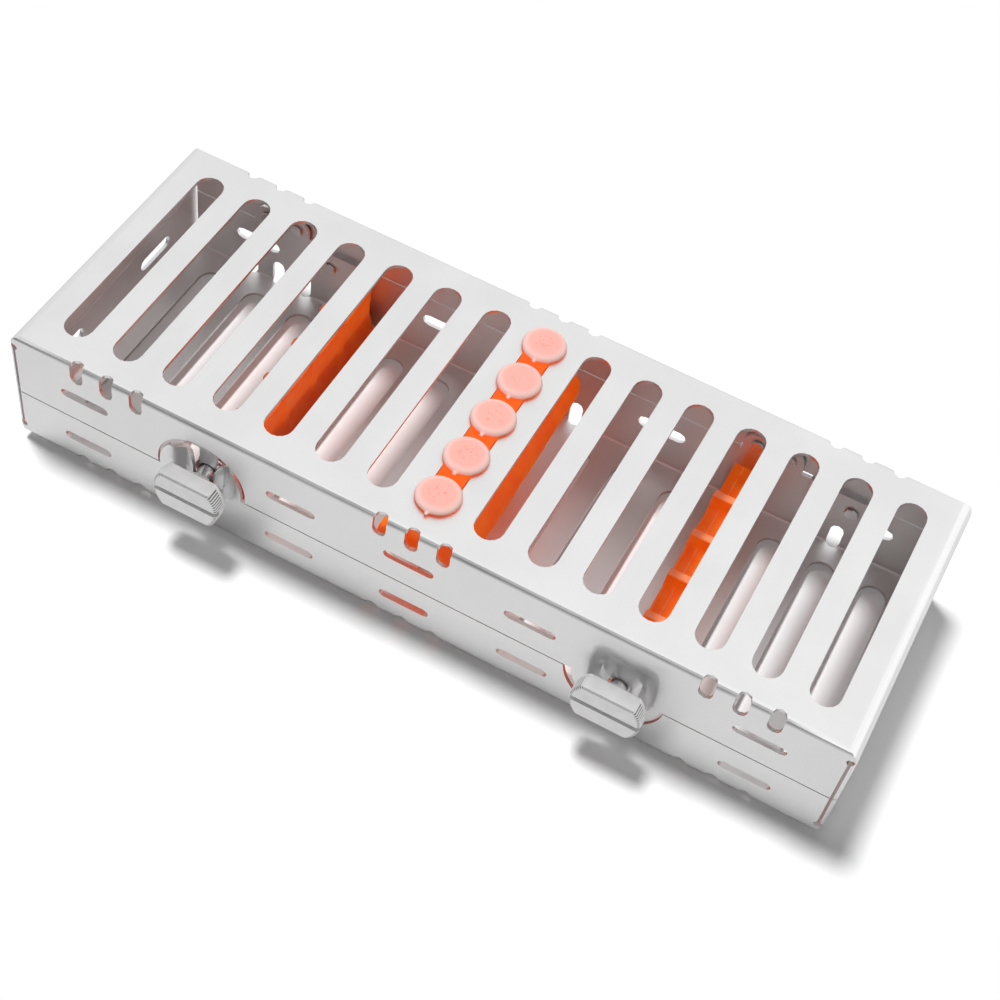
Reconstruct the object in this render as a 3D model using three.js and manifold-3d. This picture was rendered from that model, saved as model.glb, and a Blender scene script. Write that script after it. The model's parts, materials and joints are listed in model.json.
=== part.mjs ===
// Dental instrument cassette: two slotted sheet-metal pans on slip hinges, closed by two knob clamps,
// with silicone strips that hold the instruments. Millimetres, +Z up, +X to the right of the front.
import * as THREE from "three";
import { mergeVertices } from "three/addons/utils/BufferGeometryUtils.js";
import Module from "manifold-3d";

const wasm = await Module();
wasm.setup();

// Cassette, closed
const LENGTH = 180; // outside, left to right
const DEPTH = 65; // outside, front to back
const HEIGHT = 29.5; // both pans closed
const SHEET = 0.8; // sheet thickness
const LID_FRONT = 16.4; // depth of the lid's front wall
const LID_BACK = 12.2; // depth of the lid at the hinge axis
const PAN_GAP = 0.3; // between the two pans' edges
const SIDE_BEND = 3; // outer bend radius at the left and right
const EDGE_BEND = 1.3; // outer bend radius at the front and back
const CORNER = 1; // plan radius of the four upright corners
const CLEAR = 0.3; // between fitted metal pieces
const SEAT = 0.15; // between silicone and sheet
const OVERRUN = 3; // how far a cutting solid passes its face
const WELD = 0.00001; // vertices closer than this are one

// Slots through the lid's top and the base's floor
const SLOT_COUNT = 15;
const SLOT_PITCH = 11.4;
const SLOT_RADIUS = 3.05;
const SLOT_INSET = 6.3; // from the long walls' faces to a slot's ends

// Small slots that cross the lid's long top edges and the base's long bottom edges
const EDGE_SLOT_GROUPS = 3;
const EDGE_SLOTS = 3; // in a group
const EDGE_SLOT_SPREAD = 67.5; // between groups
const EDGE_SLOT_PITCH = 6.8;
const EDGE_SLOT_RADIUS = 1.45;
const EDGE_SLOT_DROP = 5.1; // down the lid's walls
const EDGE_SLOT_REACH = 1.9; // across the lid's top, from the wall's face
const NOTCH_FRONT_RISE = 2.1; // up the base's front wall
const NOTCH_BACK_RISE = 6.7; // up the base's back wall

// Slots in the walls
const WALL_SLOT_LENGTH = 11;
const WALL_SLOT_OUTER = 72.9; // places along the long walls
const WALL_SLOT_INNER = 25.9;
const FRONT_SLOT_HEIGHT = 2.2;
const FRONT_SLOT_LID_DROP = 9.5; // below the lid's top
const FRONT_SLOT_BASE_RISE = 6.8; // above the base's floor
const BACK_SLOT_HEIGHT = 3;
const BACK_SLOT_LID_DROP = 5.5;
const BACK_SLOT_BASE_RISE = 10.6;
const SIDE_SLOT_PLACE = 16; // either side of the middle line

// Corner seams of the folded pans
const SEAM_WIDTH = 0.6;
const RELIEF_RADIUS = 0.85; // hole at a seam's closed end

// Slip hinges
const HINGE_LEAF = 13.4; // width of one leaf
const HINGE_SPLIT = 2.2; // between two leaves of a hinge
const HINGE_LEFT_INSET = 31.5; // from the left end to the middle of the left hinge
const HINGE_RIGHT_INSET = 32.5;
const BARREL_RADIUS = 1.9;
const PIN_RADIUS = 1;
const LEAF_SHEET = 0.8;
const LEAF_LID_RISE = 5.7; // above the hinge axis
const LEAF_BASE_DROP = 7.8; // below the hinge axis
const LEAF_CORNER = 3;
const RIVET_RADIUS = 0.9;
const RIVET_HEAD = 1.6;
const RIVET_HEAD_HEIGHT = 0.5;
const RIVET_SPREAD = 7; // between the two rivets of a leaf

// Clamp latches
const LATCH_LEFT_INSET = 44; // from the left end to the left knob's axis
const LATCH_RIGHT_INSET = 44.8;
const KNOB_DROP = 15.5; // knob axis below the lid's top
const LOBE_RADIUS = 9.3;
const LOBE_SHIFT = 0.3; // lobe centre left of the knob axis
const ARCH_LID_RADIUS = 10;
const ARCH_LID_RISE = 0.6; // arch centre beyond the knob axis
const ARCH_BASE_RADIUS = 10.5;
const ARCH_BASE_SHIFT = 0.8; // arch centre left of the knob axis
const DISH_HALF = 7.2; // half width of the pressed dish, and the radius of its round lower end
const DISH_DEPTH = 2.1;
const DISH_RISE = 1.7; // centre of its round lower end above the knob axis
const DISH_SHIFT = 0.4; // dish's middle right of the knob axis
const DISH_RUN = 3.2; // width of its curved sides
const DISH_LID_REACH = 11.6; // from the knob axis up to the end of the ramp in the lid
const DISH_LID_RUN = 7; // length of that ramp
const DISH_LIP = 0.06; // what its rim stands proud of the wall before it is cut
const BOSS_RADIUS = 4.6; // foot of the boss round the U-slot, inside the dish
const BOSS_HEIGHT = 1.4;
const BOSS_RUN = 2; // width of its curved side
const U_RADIUS = 2.35; // half width of the U-slot
const EAR_ROUND = 4.2; // radius that flares the U-slot's mouth
const EAR_LEFT = 5.9; // ear tips beyond the knob axis
const EAR_RIGHT = 7.8;
const TONGUE_INSET = 2.5; // from the wall's face to the tongue's
const TONGUE_HALF = 1.9; // half width of its strip
const TONGUE_RUN = 4.2; // height of its bend
const TONGUE_EYE = 3; // radius round the stem's hole
const STEM_RADIUS = 1.8;
const STEM_IN_KNOB = 1.5; // past the back of the knob's head
const STEM_TAIL = 0.4; // past the nut
const KNOB_DIAMETER = 14.6;
const KNOB_FLATS = 9.5; // across the two flats
const KNOB_DEPTH = 3.9; // of its head
const KNOB_STANDOFF = 2.3; // from the wall's face to the head
const KNOB_CHAMFER = 0.35;
const KNOB_SLOT = 1; // width of the screwdriver slot
const KNOB_SLOT_DEPTH = 1.4;
const KNURLS = 48; // round a full turn
const KNURL_DEPTH = 0.35;
const KNOB_COLLAR = 1.1; // smooth length behind the knurls
const HUB_RADIUS = 2.6; // hub between the head and the wall
const HUB_GAP = 0.7; // from the wall's face, which swings out a little as the lid lifts
const WASHER_RADIUS = 3.2;
const WASHER_SHEET = 0.5;
const NUT_SIDES = 6;
const NUT_RADIUS = 3.2;
const NUT_DEPTH = 1.4;

// Silicone heads and necks, alike on the lid strip and the base rails
const HEADS = 5;
const HEAD_INSET = 3.6; // from a slot's end to the middle of the last head
const HEAD_RADIUS = 4.7;
const HEAD_HEIGHT = 1.7; // proud of the sheet
const HEAD_EDGE = 0.7; // radius of a head's rim
const FLANGE_HALF = 4.2; // half width of the flange inside the sheet
const FLANGE_HEIGHT = 1.1;

// Hold-down strip under the lid
const WING_DROP = 6; // strip's middle below the lid's top
const WING_TIP_DROP = 11;
const WING_HALF = 8.7;
const WING_SHEET = 1.6;
const WING_INSET = 0.2; // from a slot's end to the end of the wings
const WING_CORNER = 4;
const HOLD_STEM_HALF = 1.6;

// Instrument rails in the base
const RAIL_SLOT_COUNT = 4; // slots from the middle one to a rail's
const RIB_THICK = 1.6;
const RIB_TOP_DROP = 11.5; // below the lid's top
const SADDLE_DROP = 15.5;
const CREASE_DROP = 22.5;
const RIB_HALF = 2.2;
const BODY_HALF = 2.7;
const SKIRT_HALF = 4.2;
const SADDLE_ROUND = 2;

// Facets in each arc of an outline
const BEND_FACETS = 3;
const EDGE_FACETS = 2;
const CORNER_FACETS = 1;
const SLOT_FACETS = 4;
const SMALL_FACETS = 3;
const SLOT_END_FACETS = 2;
const FINE_FACETS = 8;
const WIDE_FACETS = 14;
const CURVE_FACETS = 6;
const DISH_COLUMNS = 12;
const DISH_ROWS = 10;
const HEAD_SIDES = 12;
const HEAD_RINGS = 1;
const RIVET_SIDES = 8;

// Places worked out from the sizes above
const floorZ = HEAD_HEIGHT;
const topZ = floorZ + HEIGHT;
const frontY = -DEPTH / 2;
const backY = DEPTH / 2;
const endX = LENGTH / 2;
const hingeY = backY + CLEAR + BARREL_RADIUS;
const hingeZ = topZ - LID_BACK;
const splitFrontZ = topZ - LID_FRONT;
const knobZ = topZ - KNOB_DROP;
const knobBackY = frontY - KNOB_STANDOFF;
const knobFrontY = knobBackY - KNOB_DEPTH;
const hubBackY = frontY - HUB_GAP;
const latchLeft = LATCH_LEFT_INSET - endX;
const latchRight = endX - LATCH_RIGHT_INSET;
const slotReach = DEPTH / 2 - SLOT_INSET;
const hingeLeft = HINGE_LEFT_INSET - endX;
const hingeRight = endX - HINGE_RIGHT_INSET;
const plateY = backY - SHEET - CLEAR;
const rivetInnerY = plateY - LEAF_SHEET - SEAT;
const tongueY = frontY + TONGUE_INSET;
const washerY = tongueY + SHEET + CLEAR;
const nutY = washerY + WASHER_SHEET + CLEAR;
const stemEndY = nutY + NUT_DEPTH + STEM_TAIL;
const neckHalf = SLOT_RADIUS - SEAT;
const neckReach = slotReach - SEAT;
const railFrontY = washerY;
const railBackY = rivetInnerY - RIVET_HEAD_HEIGHT - CLEAR - SEAT;
const railX = RAIL_SLOT_COUNT * SLOT_PITCH;
const headPitch = (2 * (slotReach - HEAD_INSET)) / (HEADS - 1);
const slotPlaces = Array.from({ length: SLOT_COUNT }, (_, i) => (i - (SLOT_COUNT - 1) / 2) * SLOT_PITCH);
const headPlaces = Array.from({ length: HEADS }, (_, i) => (i - (HEADS - 1) / 2) * headPitch);
const wallSlotPlaces = [-WALL_SLOT_OUTER, -WALL_SLOT_INNER, 0, WALL_SLOT_INNER, WALL_SLOT_OUTER];

// Solids from three.js geometry, and back
function solid(geometry) {
  const plain = geometry.index ? geometry.toNonIndexed() : geometry.clone();
  plain.deleteAttribute("normal");
  plain.deleteAttribute("uv");
  const merged = mergeVertices(plain, WELD);
  const mesh = new wasm.Mesh({
    numProp: 3,
    vertProperties: merged.attributes.position.array,
    triVerts: new Uint32Array(merged.index.array),
  });
  return new wasm.Manifold(mesh);
}

function geometryOf(manifold) {
  const mesh = manifold.getMesh();
  const geometry = new THREE.BufferGeometry();
  geometry.setAttribute("position", new THREE.BufferAttribute(new Float32Array(mesh.vertProperties), 3));
  geometry.setIndex(new THREE.BufferAttribute(new Uint32Array(mesh.triVerts), 1));
  const flat = geometry.toNonIndexed();
  flat.computeVertexNormals();
  return flat;
}

const join = (...solids) => solids.reduce((sum, next) => sum.add(next));

function extrude(shape, depth, facets) {
  return new THREE.ExtrudeGeometry(shape, { depth, bevelEnabled: false, curveSegments: facets });
}

// A shape in (x, y), from z0 up to z1
function alongZ(shape, z0, z1, facets = FINE_FACETS) {
  return solid(extrude(shape, z1 - z0, facets).translate(0, 0, z0));
}

// A shape in (x, z), from y0 back to y1
function alongY(shape, y0, y1, facets = FINE_FACETS) {
  return solid(extrude(shape, y1 - y0, facets).rotateX(Math.PI / 2).translate(0, y1, 0));
}

// A shape in (y, z), from x0 right to x1
function alongX(shape, x0, x1, facets = FINE_FACETS) {
  const turn = new THREE.Matrix4().makeBasis(
    new THREE.Vector3(0, 1, 0),
    new THREE.Vector3(0, 0, 1),
    new THREE.Vector3(1, 0, 0),
  );
  return solid(extrude(shape, x1 - x0, facets).applyMatrix4(turn).translate(x0, 0, 0));
}

// Outlines
function outline(points) {
  return new THREE.Shape(points.map(([a, b]) => new THREE.Vector2(a, b)));
}

function rectangle(a0, b0, a1, b1) {
  return outline([[a0, b0], [a1, b0], [a1, b1], [a0, b1]]);
}

function roundRectangle(a0, b0, a1, b1, radius) {
  const shape = new THREE.Shape();
  shape.moveTo(a0 + radius, b0);
  shape.lineTo(a1 - radius, b0);
  shape.absarc(a1 - radius, b0 + radius, radius, -Math.PI / 2, 0);
  shape.absarc(a1 - radius, b1 - radius, radius, 0, Math.PI / 2);
  shape.absarc(a0 + radius, b1 - radius, radius, Math.PI / 2, Math.PI);
  shape.absarc(a0 + radius, b0 + radius, radius, Math.PI, 1.5 * Math.PI);
  return shape;
}

function circle(a, b, radius) {
  return new THREE.Shape().absarc(a, b, radius, 0, 2 * Math.PI);
}

// A slot with round ends, its long side along the first or the second coordinate
function slotAcross(a, b, length, width) {
  const radius = width / 2;
  const straight = length / 2 - radius;
  const shape = new THREE.Shape();
  shape.absarc(a + straight, b, radius, -Math.PI / 2, Math.PI / 2);
  shape.absarc(a - straight, b, radius, Math.PI / 2, 1.5 * Math.PI);
  return shape;
}

function slotUpright(a, b, length, width) {
  const radius = width / 2;
  const straight = length / 2 - radius;
  const shape = new THREE.Shape();
  shape.absarc(a, b + straight, radius, 0, Math.PI);
  shape.absarc(a, b - straight, radius, Math.PI, 2 * Math.PI);
  return shape;
}

// The closed box that both pans are cut from
function roundedBox(inset) {
  const x = endX - inset;
  const y = backY - inset;
  const low = floorZ + inset;
  const high = topZ - inset;
  const frontView = roundRectangle(-x, low, x, high, SIDE_BEND - inset);
  const sideView = roundRectangle(-y, low, y, high, EDGE_BEND - inset);
  const plan = roundRectangle(-x, -y, x, y, CORNER - inset);
  return alongY(frontView, -y - OVERRUN, y + OVERRUN, BEND_FACETS)
    .intersect(alongX(sideView, -x - OVERRUN, x + OVERRUN, EDGE_FACETS))
    .intersect(alongZ(plan, low - OVERRUN, high + OVERRUN, CORNER_FACETS));
}

// The slanting plane between the pans runs from the front wall's edge to the hinge axis
function splitZ(y) {
  return splitFrontZ + ((y - frontY) / (hingeY - frontY)) * (hingeZ - splitFrontZ);
}

function halfSpace(side) {
  const y0 = frontY - OVERRUN;
  const y1 = backY + OVERRUN;
  const edge = (side * PAN_GAP) / 2;
  const far = side > 0 ? topZ + OVERRUN : floorZ - OVERRUN;
  const corners = [[y0, splitZ(y0) + edge], [y1, splitZ(y1) + edge], [y1, far], [y0, far]];
  return alongX(outline(side > 0 ? corners : corners.reverse()), -endX - OVERRUN, endX + OVERRUN);
}

// Latch outlines in (x, z); side is +1 where the ears point up and -1 where they point down
function lobe(x) {
  return circle(x - LOBE_SHIFT, knobZ, LOBE_RADIUS);
}

function arch(x, radius, rise, side) {
  const z = knobZ + side * rise;
  const mouth = knobZ - side * OVERRUN;
  const from = side > 0 ? 0 : Math.PI;
  const shape = new THREE.Shape();
  shape.moveTo(x + side * radius, mouth);
  shape.lineTo(x + side * radius, z);
  shape.absarc(x, z, radius, from, from + Math.PI);
  shape.lineTo(x - side * radius, mouth);
  return shape;
}

function uSlot(x, tip, side) {
  const far = KNOB_DIAMETER;
  const bend = tip - EAR_ROUND;
  const shape = new THREE.Shape();
  shape.moveTo(U_RADIUS, 0);
  shape.lineTo(U_RADIUS, bend);
  shape.absarc(U_RADIUS + EAR_ROUND, bend, EAR_ROUND, Math.PI, Math.PI / 2, true);
  shape.lineTo(far, tip);
  shape.lineTo(far, far);
  shape.lineTo(-far, far);
  shape.lineTo(-far, tip);
  shape.absarc(-U_RADIUS - EAR_ROUND, bend, EAR_ROUND, Math.PI / 2, 0, true);
  shape.lineTo(-U_RADIUS, 0);
  shape.absarc(0, 0, U_RADIUS, Math.PI, 2 * Math.PI);
  const points = shape.getPoints(FINE_FACETS).map((p) => [x + side * p.x, knobZ + side * p.y]);
  return outline(points);
}

// Depth of the pressed dish at a place seen from the knob axis, swollen by some width. Its lower end is
// round; in the lid it ends in a ramp at the top, and in the base it runs out through the ears. A boss
// follows the edge of the U-slot.
function dishDepth(dx, dz, side, swell) {
  const smooth = THREE.MathUtils.smoothstep;
  const edge = DISH_HALF + swell - Math.hypot(dx - DISH_SHIFT, Math.min(0, dz - DISH_RISE));
  const ramp = side > 0 ? 1 : smooth(DISH_LID_REACH + swell - dz, 0, DISH_LID_RUN);
  const slotEdge = Math.hypot(dx, Math.max(0, -side * dz));
  const boss = BOSS_HEIGHT * smooth(BOSS_RADIUS - swell - slotEdge, 0, BOSS_RUN);
  return (DISH_DEPTH - boss) * smooth(edge, 0, DISH_RUN) * ramp;
}

// Everything in front of the dish's floor, grown by the sheet for its back; side as above
function dish(x, side, grown) {
  const swell = grown / 2;
  const left = DISH_SHIFT - DISH_HALF - swell;
  const right = DISH_SHIFT + DISH_HALF + swell;
  const low = DISH_RISE - DISH_HALF - swell;
  const high = side > 0 ? EAR_LEFT + swell : DISH_LID_REACH + swell;
  const front = frontY - OVERRUN;
  const back = frontY + grown - DISH_LIP;
  const block = new THREE.BoxGeometry(right - left, back - front, high - low, DISH_COLUMNS, 1, DISH_ROWS);
  block.translate((left + right) / 2, (front + back) / 2, (low + high) / 2);
  const places = block.attributes.position;
  const middle = (front + back) / 2;
  for (let i = 0; i < places.count; i += 1) {
    if (places.getY(i) > middle) {
      const depth = dishDepth(places.getX(i), places.getZ(i), side, swell);
      places.setY(i, back + (depth * (DISH_DEPTH + DISH_LIP)) / DISH_DEPTH);
    }
  }
  return solid(block.translate(x, 0, knobZ));
}

// The tongue that carries a stem: a bent strip with an eye, hung from the arch of its pan
function tongue(x, root, side) {
  const bend = root - TONGUE_RUN;
  const middle = root - TONGUE_RUN / 2;
  const strip = new THREE.Shape();
  strip.moveTo(frontY, root + SHEET);
  strip.lineTo(frontY, root);
  strip.bezierCurveTo(frontY, middle, tongueY, middle, tongueY, bend);
  strip.lineTo(tongueY, 0);
  strip.lineTo(tongueY + SHEET, 0);
  strip.lineTo(tongueY + SHEET, bend + SHEET);
  strip.bezierCurveTo(tongueY + SHEET, middle + SHEET, frontY + SHEET, middle + SHEET, frontY + SHEET, root + SHEET);
  const points = strip.getPoints(CURVE_FACETS).map((p) => [p.x, knobZ + side * p.y]);
  const bent = alongX(outline(side > 0 ? points : points.reverse()), x - TONGUE_HALF, x + TONGUE_HALF);
  const eye = alongY(circle(x, knobZ, TONGUE_EYE), tongueY, tongueY + SHEET);
  const hole = alongY(circle(x, knobZ, STEM_RADIUS + CLEAR), tongueY - OVERRUN, tongueY + OVERRUN);
  return bent.add(eye).subtract(hole);
}

// Cuts that repeat along a pan
function topSlots(z) {
  return join(
    ...slotPlaces.map((x) =>
      alongZ(slotUpright(x, 0, 2 * slotReach, 2 * SLOT_RADIUS), z - OVERRUN, z + OVERRUN, SLOT_FACETS),
    ),
  );
}

function wallSlots(wallY, height, z) {
  return join(
    ...wallSlotPlaces.map((x) =>
      alongY(slotAcross(x, z, WALL_SLOT_LENGTH, height), wallY - OVERRUN, wallY + OVERRUN, SLOT_END_FACETS),
    ),
  );
}

function sideSlots(z) {
  return join(
    ...[-1, 1].flatMap((end) =>
      [-SIDE_SLOT_PLACE, SIDE_SLOT_PLACE].map((y) =>
        alongX(
          slotAcross(y, z, WALL_SLOT_LENGTH, BACK_SLOT_HEIGHT),
          end * endX - OVERRUN,
          end * endX + OVERRUN,
          SLOT_END_FACETS,
        ),
      ),
    ),
  );
}

// Slots that cross a long edge: a plan slot and a wall slot of one width, which meet at the bend
function edgeSlots(wall, reach, edgeZ, drop) {
  const groups = Array.from({ length: EDGE_SLOT_GROUPS }, (_, i) => i - (EDGE_SLOT_GROUPS - 1) / 2);
  const copies = Array.from({ length: EDGE_SLOTS }, (_, i) => i - (EDGE_SLOTS - 1) / 2);
  const face = wall * backY;
  const down = Math.sign(floorZ + topZ - 2 * edgeZ);
  return join(
    ...groups.flatMap((group) =>
      copies.map((copy) => {
        const x = group * EDGE_SLOT_SPREAD + copy * EDGE_SLOT_PITCH;
        const planLength = 2 * (reach + OVERRUN);
        const wallLength = 2 * (drop + OVERRUN);
        const planMiddle = face + wall * OVERRUN;
        const wallMiddle = edgeZ - down * OVERRUN;
        const width = 2 * EDGE_SLOT_RADIUS;
        const flat = alongZ(
          slotUpright(x, planMiddle, planLength, width),
          edgeZ - EDGE_BEND,
          edgeZ + EDGE_BEND,
          SLOT_END_FACETS,
        );
        const upright = alongY(
          slotUpright(x, wallMiddle, wallLength, width),
          face - SHEET,
          face + SHEET,
          SLOT_END_FACETS,
        );
        return flat.add(upright);
      }),
    ),
  );
}

// Seams at the four corners, from a pan's edge to a relief hole at its bend
function seams(low, high, holeZ) {
  const x = endX - SHEET - SEAM_WIDTH / 2;
  return join(
    ...[-1, 1].flatMap((end) =>
      [frontY, backY].map((y) => {
        const slit = rectangle(end * x - SEAM_WIDTH / 2, low, end * x + SEAM_WIDTH / 2, high);
        const cut = alongY(slit, y - OVERRUN / 2, y + OVERRUN / 2);
        const relief = circle(end * x, holeZ, RELIEF_RADIUS);
        return cut.add(alongY(relief, y - OVERRUN / 2, y + OVERRUN / 2, SMALL_FACETS));
      }),
    ),
  );
}

// Windows at the pans' back edges, which the hinge webs pass through
function hingeWindows() {
  const half = HINGE_LEAF + HINGE_SPLIT / 2 + CLEAR;
  const high = LEAF_SHEET / 2 + CLEAR;
  return join(
    ...[hingeLeft, hingeRight].map((x) => {
      const window = rectangle(x - half, hingeZ - high, x + half, hingeZ + high);
      return alongY(window, backY - SHEET - SEAT, backY + OVERRUN);
    }),
  );
}

// A leaf's middle: the lid's leaf lies left of the base's in both hinges
function leafX(hinge, side) {
  return hinge - (side * (HINGE_LEAF + HINGE_SPLIT)) / 2;
}

function rivetPlaces(hinge, side) {
  const reach = side > 0 ? LEAF_LID_RISE : LEAF_BASE_DROP;
  const z = hingeZ + (side * reach) / 2;
  return [-1, 1].map((end) => [leafX(hinge, side) + (end * RIVET_SPREAD) / 2, z]);
}

function rivetHoles(side) {
  const places = [hingeLeft, hingeRight].flatMap((hinge) => rivetPlaces(hinge, side));
  return join(
    ...places.map(([x, z]) =>
      alongY(circle(x, z, RIVET_RADIUS + CLEAR), backY - OVERRUN, backY + OVERRUN, SMALL_FACETS),
    ),
  );
}

// One pan of the cassette; side is +1 for the lid and -1 for the base
function pan(side) {
  const lid = side > 0;
  const walls = roundedBox(0).subtract(roundedBox(SHEET));
  const lobeX = lid ? latchRight : latchLeft;
  const tongueX = lid ? latchLeft : latchRight;
  const archX = lid ? tongueX : tongueX - ARCH_BASE_SHIFT;
  const radius = lid ? ARCH_LID_RADIUS : ARCH_BASE_RADIUS;
  const rise = lid ? ARCH_LID_RISE : 0;
  const tip = lid ? EAR_RIGHT : EAR_LEFT;
  const behind = frontY + DISH_DEPTH + 2 * SHEET;
  const own = halfSpace(side);
  const lobePrism = alongY(lobe(lobeX), frontY - OVERRUN, behind, WIDE_FACETS);
  const archShape = arch(archX, radius, rise, side);
  const archPrism = alongY(archShape, frontY - OVERRUN, frontY + SHEET + SEAT, WIDE_FACETS);
  const region = own.add(lobePrism);
  let body = walls.intersect(region).subtract(archPrism);
  body = body.add(dish(lobeX, -side, SHEET).intersect(region).intersect(roundedBox(0)));
  body = body.subtract(dish(lobeX, -side, 0));
  body = body.subtract(alongY(uSlot(lobeX, tip, -side), frontY - OVERRUN, behind));
  body = body.add(tongue(tongueX, rise + radius, side));
  const edgeZ = lid ? topZ : floorZ;
  const edges = lid
    ? join(
        edgeSlots(-1, EDGE_SLOT_REACH, edgeZ, EDGE_SLOT_DROP),
        edgeSlots(1, EDGE_SLOT_REACH, edgeZ, EDGE_SLOT_DROP),
      )
    : join(
        edgeSlots(-1, EDGE_SLOT_REACH, edgeZ, NOTCH_FRONT_RISE),
        edgeSlots(1, EDGE_SLOT_REACH, edgeZ, NOTCH_BACK_RISE),
      );
  const frontSlotZ = lid ? topZ - FRONT_SLOT_LID_DROP : floorZ + FRONT_SLOT_BASE_RISE;
  const backSlotZ = lid ? topZ - BACK_SLOT_LID_DROP : floorZ + BACK_SLOT_BASE_RISE;
  const holeZ = edgeZ - side * SIDE_BEND;
  const cuts = join(
    topSlots(edgeZ),
    edges,
    wallSlots(frontY, FRONT_SLOT_HEIGHT, frontSlotZ),
    wallSlots(backY, BACK_SLOT_HEIGHT, backSlotZ),
    sideSlots(backSlotZ),
    lid ? seams(floorZ, holeZ, holeZ) : seams(holeZ, topZ, holeZ),
    hingeWindows(),
    rivetHoles(side),
  );
  return body.subtract(cuts);
}

// One hinge leaf: a plate inside the wall, a web through the window and a barrel on the axis
function hingeLeaf(hinge, side) {
  const x = leafX(hinge, side);
  const left = x - HINGE_LEAF / 2;
  const right = x + HINGE_LEAF / 2;
  const half = LEAF_SHEET / 2;
  const root = hingeZ - side * half;
  const tip = hingeZ + side * (side > 0 ? LEAF_LID_RISE : LEAF_BASE_DROP);
  const round = new THREE.Shape();
  round.moveTo(left, root);
  round.lineTo(right, root);
  round.lineTo(right, tip - side * LEAF_CORNER);
  round.absarc(right - LEAF_CORNER, tip - side * LEAF_CORNER, LEAF_CORNER, 0, (side * Math.PI) / 2, side < 0);
  round.absarc(
    left + LEAF_CORNER,
    tip - side * LEAF_CORNER,
    LEAF_CORNER,
    (side * Math.PI) / 2,
    side * Math.PI,
    side < 0,
  );
  const plate = alongY(round, plateY - LEAF_SHEET, plateY, EDGE_FACETS);
  const web = alongZ(rectangle(left, plateY - LEAF_SHEET, right, hingeY), hingeZ - half, hingeZ + half);
  const meet = hinge - (side * SEAT) / 2;
  const low = Math.min(meet, x - (side * HINGE_LEAF) / 2);
  const high = Math.max(meet, x - (side * HINGE_LEAF) / 2);
  const barrel = alongX(circle(hingeY, hingeZ, BARREL_RADIUS), low, high);
  const bore = alongX(circle(hingeY, hingeZ, PIN_RADIUS + CLEAR), low - OVERRUN, high + OVERRUN);
  const holes = rivetPlaces(hinge, side).map(([px, pz]) =>
    alongY(circle(px, pz, RIVET_RADIUS + CLEAR), plateY - OVERRUN, plateY + CLEAR / 2, SMALL_FACETS),
  );
  return plate.add(web).add(barrel).subtract(bore).subtract(join(...holes));
}

// The pin fills the base's barrel and enters the lid's, short of both ends
function hingePin(hinge) {
  const reach = HINGE_LEAF + HINGE_SPLIT / 2 - CLEAR;
  return alongX(circle(hingeY, hingeZ, PIN_RADIUS), hinge - reach, hinge + reach);
}

// A turned piece on an axis along Y, its profile given as radius and distance behind a place
function turned(points, x, y, z, sides) {
  const profile = points.map(([radius, back]) => new THREE.Vector2(radius, back));
  return solid(new THREE.LatheGeometry(profile, sides).translate(x, y, z));
}

function rivet(x, z) {
  const length = backY + SEAT - rivetInnerY;
  const dome = RIVET_HEAD_HEIGHT;
  const points = [
    [0, -dome],
    [RIVET_HEAD, -dome],
    [RIVET_HEAD, 0],
    [RIVET_RADIUS, 0],
    [RIVET_RADIUS, length],
    [RIVET_HEAD, length],
    [RIVET_HEAD * Math.cos(Math.PI / 4), length + dome * Math.sin(Math.PI / 4)],
    [0, length + dome],
  ];
  return turned(points, x, rivetInnerY, z, RIVET_SIDES);
}

// A knob: a head cut by two flats, knurled in front of a smooth collar, with chamfers and a slot, on a hub
function knob(x) {
  const radius = KNOB_DIAMETER / 2;
  const round = new THREE.Shape();
  for (let i = 0; i < 2 * KNURLS; i += 1) {
    const angle = (i * Math.PI) / KNURLS;
    const r = radius - (i % 2) * KNURL_DEPTH;
    const point = [x + r * Math.cos(angle), knobZ + r * Math.sin(angle)];
    if (i) round.lineTo(...point);
    else round.moveTo(...point);
  }
  const half = KNOB_FLATS / 2;
  const low = half - KNOB_CHAMFER;
  const frontEdge = knobFrontY + KNOB_CHAMFER;
  const backEdge = knobBackY - KNOB_CHAMFER;
  const upper = [[knobFrontY, low], [frontEdge, half], [backEdge, half], [knobBackY, low]];
  const lower = upper.map(([y, z]) => [y, -z]).reverse();
  const side = outline([...upper, ...lower].map(([y, z]) => [y, knobZ + z]).reverse());
  const collar = radius - KNURL_DEPTH;
  const cone = turned(
    [
      [0, knobFrontY],
      [radius - KNOB_CHAMFER, knobFrontY],
      [radius, frontEdge],
      [radius, knobBackY - KNOB_COLLAR],
      [collar, knobBackY - KNOB_COLLAR],
      [collar, backEdge],
      [collar - KNOB_CHAMFER, knobBackY],
      [0, knobBackY],
    ],
    x,
    0,
    knobZ,
    KNURLS,
  );
  const slot = rectangle(x - KNOB_DIAMETER, knobZ - KNOB_SLOT / 2, x + KNOB_DIAMETER, knobZ + KNOB_SLOT / 2);
  const bore = alongY(circle(x, knobZ, STEM_RADIUS + CLEAR), knobBackY - STEM_IN_KNOB - CLEAR, hubBackY + OVERRUN);
  return alongY(round, knobFrontY, knobBackY)
    .intersect(alongX(side, x - KNOB_DIAMETER, x + KNOB_DIAMETER))
    .intersect(cone)
    .subtract(alongY(slot, knobFrontY - OVERRUN, knobFrontY + KNOB_SLOT_DEPTH))
    .add(alongY(circle(x, knobZ, HUB_RADIUS), knobBackY - KNOB_CHAMFER, hubBackY))
    .subtract(bore);
}

function stem(x) {
  const low = knobBackY - STEM_IN_KNOB;
  return alongY(circle(x, knobZ, STEM_RADIUS), low, stemEndY);
}

function ring(shape, x, y0, y1) {
  const bore = alongY(circle(x, knobZ, STEM_RADIUS + CLEAR), y0 - OVERRUN, y1 + OVERRUN);
  return alongY(shape, y0, y1).subtract(bore);
}

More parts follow.
